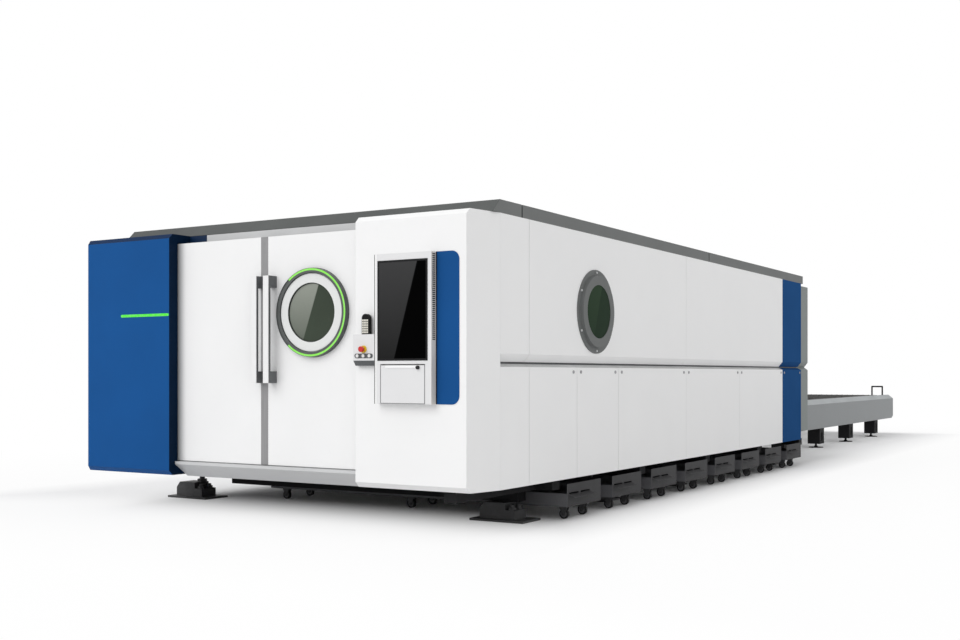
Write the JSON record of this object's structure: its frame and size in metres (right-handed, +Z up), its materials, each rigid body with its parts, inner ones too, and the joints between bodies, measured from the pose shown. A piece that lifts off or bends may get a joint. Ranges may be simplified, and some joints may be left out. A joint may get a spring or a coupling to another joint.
{
  "type": "enclosed fiber laser cutting machine",
  "caption": "Enclosed sheet laser cutter with sliding front doors, operator panel, slag carts under the bed and a two-level pallet exchange table behind.",
  "frame": {"origin": "middle of the footprint, on the floor under the feet and casters", "axes": "+X to the machine's right as the operator sees it, +Y from the operator's front to the exchange table, +Z up"},
  "size_m": [4.068, 16.9, 2.374],
  "materials": {
    "panel_white": "satin",
    "cover_blue": "satin",
    "stripe_blue": "satin",
    "roof_grey": "matte",
    "collar_grey": "satin",
    "gate_grey": "satin",
    "bed_grey": "matte",
    "frame_black": "satin",
    "rail_steel": "ground",
    "slat_steel": "cut plate",
    "chain_steel": "oiled",
    "lock_grey": "satin",
    "flange_grey": "satin",
    "window_glass": "tinted",
    "rim_grey": "satin",
    "light_green": "diffuser",
    "edge_grey": "satin",
    "handle_white": "satin",
    "case_white": "satin",
    "screen_black": "gloss",
    "key_black": "satin",
    "button_grey": "satin",
    "stop_red": "gloss",
    "gantry_silver": "machined",
    "truck_grey": "satin",
    "head_silver": "anodised",
    "table_grey": "satin",
    "cart_grey": "matte"
  },
  "bodies": {
    "machine": {"left_wall_panels": "panel_white", "right_wall_panels": "panel_white", "front_right_cover": "panel_white", "front_left_cover": "cover_blue", "trim_plate": "cover_blue", "rear_stripe_panels": "stripe_blue", "roof_panels": "roof_grey", "rear_collar": "collar_grey", "door_threshold": "collar_grey", "door_header": "collar_grey", "bed_beams": "bed_grey", "wall_frames": "bed_grey", "bed_cross_tubes": "frame_black", "levelling_feet": "frame_black", "table_cross_tubes": "frame_black", "table_legs": "frame_black", "gantry_rails": "rail_steel", "pallet_rails": "rail_steel", "drive_chains": "chain_steel", "panel_locks": "lock_grey", "side_window_frame": "flange_grey", "side_window_glass": "window_glass", "cover_light_strip": "light_green", "panel_case": "case_white", "button_console": "case_white", "panel_screen": "screen_black", "hand_remote": "key_black", "button_plate": "button_grey", "drive_motor": "truck_grey", "table_beams": "table_grey"},
    "left_door": {"left_door": "panel_white", "left_door_edge": "edge_grey", "left_handle": "handle_white"},
    "right_door": {"right_door": "panel_white", "right_handle": "handle_white", "window_dish": "panel_white", "window_rim": "rim_grey", "window_glass": "window_glass", "window_light": "light_green"},
    "keyboard_flap": {"keyboard_flap": "case_white", "keyboard": "key_black"},
    "stop_button": {"stop_button": "stop_red"},
    "gantry": {"gantry_beam": "gantry_silver", "gantry_trucks": "truck_grey"},
    "carriage": {"cross_carriage": "gantry_silver"},
    "head": {"cutting_head": "head_silver"},
    "rear_gate": {"rear_gate": "gate_grey"},
    "upper_pallet": {"upper_pallet": "frame_black", "upper_slats": "slat_steel"},
    "lower_pallet": {"lower_pallet": "frame_black", "lower_slats": "slat_steel"},
    "drive_shaft": {"drive_shaft": "rail_steel"},
    "cart_1": {"slag_cart_1": "cart_grey"},
    "cart_2": {"slag_cart_2": "cart_grey"},
    "cart_3": {"slag_cart_3": "cart_grey"},
    "cart_4": {"slag_cart_4": "cart_grey"},
    "cart_5": {"slag_cart_5": "cart_grey"},
    "cart_6": {"slag_cart_6": "cart_grey"},
    "cart_7": {"slag_cart_7": "cart_grey"},
    "cart_8": {"slag_cart_8": "cart_grey"}
  },
  "joints": [
    {"name": "left_door_slide", "type": "slide", "parent": "machine", "child": "left_door", "axis": [-1, 0, 0], "range_m": [0, 0.81]},
    {"name": "right_door_slide", "type": "slide", "parent": "machine", "child": "right_door", "axis": [1, 0, 0], "range_m": [0, 0.81]},
    {"name": "keyboard_flap_hinge", "type": "hinge", "parent": "machine", "child": "keyboard_flap", "pos_m": [1.441, -8.404, 0.949], "axis": [1, 0, 0], "range_deg": [0, 90]},
    {"name": "stop_button_press", "type": "slide", "parent": "machine", "child": "stop_button", "axis": [0, 1, 0], "range_m": [0, 0.006], "stiffness_N_per_m": 1500},
    {"name": "gantry_travel", "type": "slide", "parent": "machine", "child": "gantry", "axis": [0, 1, 0], "range_m": [0, 6.1]},
    {"name": "carriage_travel", "type": "slide", "parent": "gantry", "child": "carriage", "axis": [1, 0, 0], "range_m": [-1, 1]},
    {"name": "head_lift", "type": "slide", "parent": "carriage", "child": "head", "axis": [0, 0, 1], "range_m": [-0.25, 0]},
    {"name": "rear_gate_lift", "type": "slide", "parent": "machine", "child": "rear_gate", "axis": [0, 0, 1], "range_m": [-0.56, 0]},
    {"name": "upper_pallet_travel", "type": "slide", "parent": "machine", "child": "upper_pallet", "axis": [0, -1, 0], "range_m": [0, 8.47]},
    {"name": "lower_pallet_travel", "type": "slide", "parent": "machine", "child": "lower_pallet", "axis": [0, 1, 0], "range_m": [0, 8.47]},
    {"name": "drive_shaft_turn", "type": "hinge", "parent": "machine", "child": "drive_shaft", "pos_m": [0, 8, 0.61], "axis": [1, 0, 0], "range_deg": [0, 13866]},
    {"name": "cart_1_roll", "type": "slide", "parent": "machine", "child": "cart_1", "axis": [1, 0, 0], "range_m": [0, 3]},
    {"name": "cart_2_roll", "type": "slide", "parent": "machine", "child": "cart_2", "axis": [1, 0, 0], "range_m": [0, 3]},
    {"name": "cart_3_roll", "type": "slide", "parent": "machine", "child": "cart_3", "axis": [1, 0, 0], "range_m": [0, 3]},
    {"name": "cart_4_roll", "type": "slide", "parent": "machine", "child": "cart_4", "axis": [1, 0, 0], "range_m": [0, 3]},
    {"name": "cart_5_roll", "type": "slide", "parent": "machine", "child": "cart_5", "axis": [1, 0, 0], "range_m": [0, 3]},
    {"name": "cart_6_roll", "type": "slide", "parent": "machine", "child": "cart_6", "axis": [1, 0, 0], "range_m": [0, 3]},
    {"name": "cart_7_roll", "type": "slide", "parent": "machine", "child": "cart_7", "axis": [1, 0, 0], "range_m": [0, 3]},
    {"name": "cart_8_roll", "type": "slide", "parent": "machine", "child": "cart_8", "axis": [1, 0, 0], "range_m": [0, 3]}
  ],
  "couplings": [
    {"joint": "lower_pallet_travel", "follows": "upper_pallet_travel", "ratio": 1},
    {"joint": "drive_shaft_turn", "follows": "upper_pallet_travel", "rad_per_m": 28.571}
  ]
}
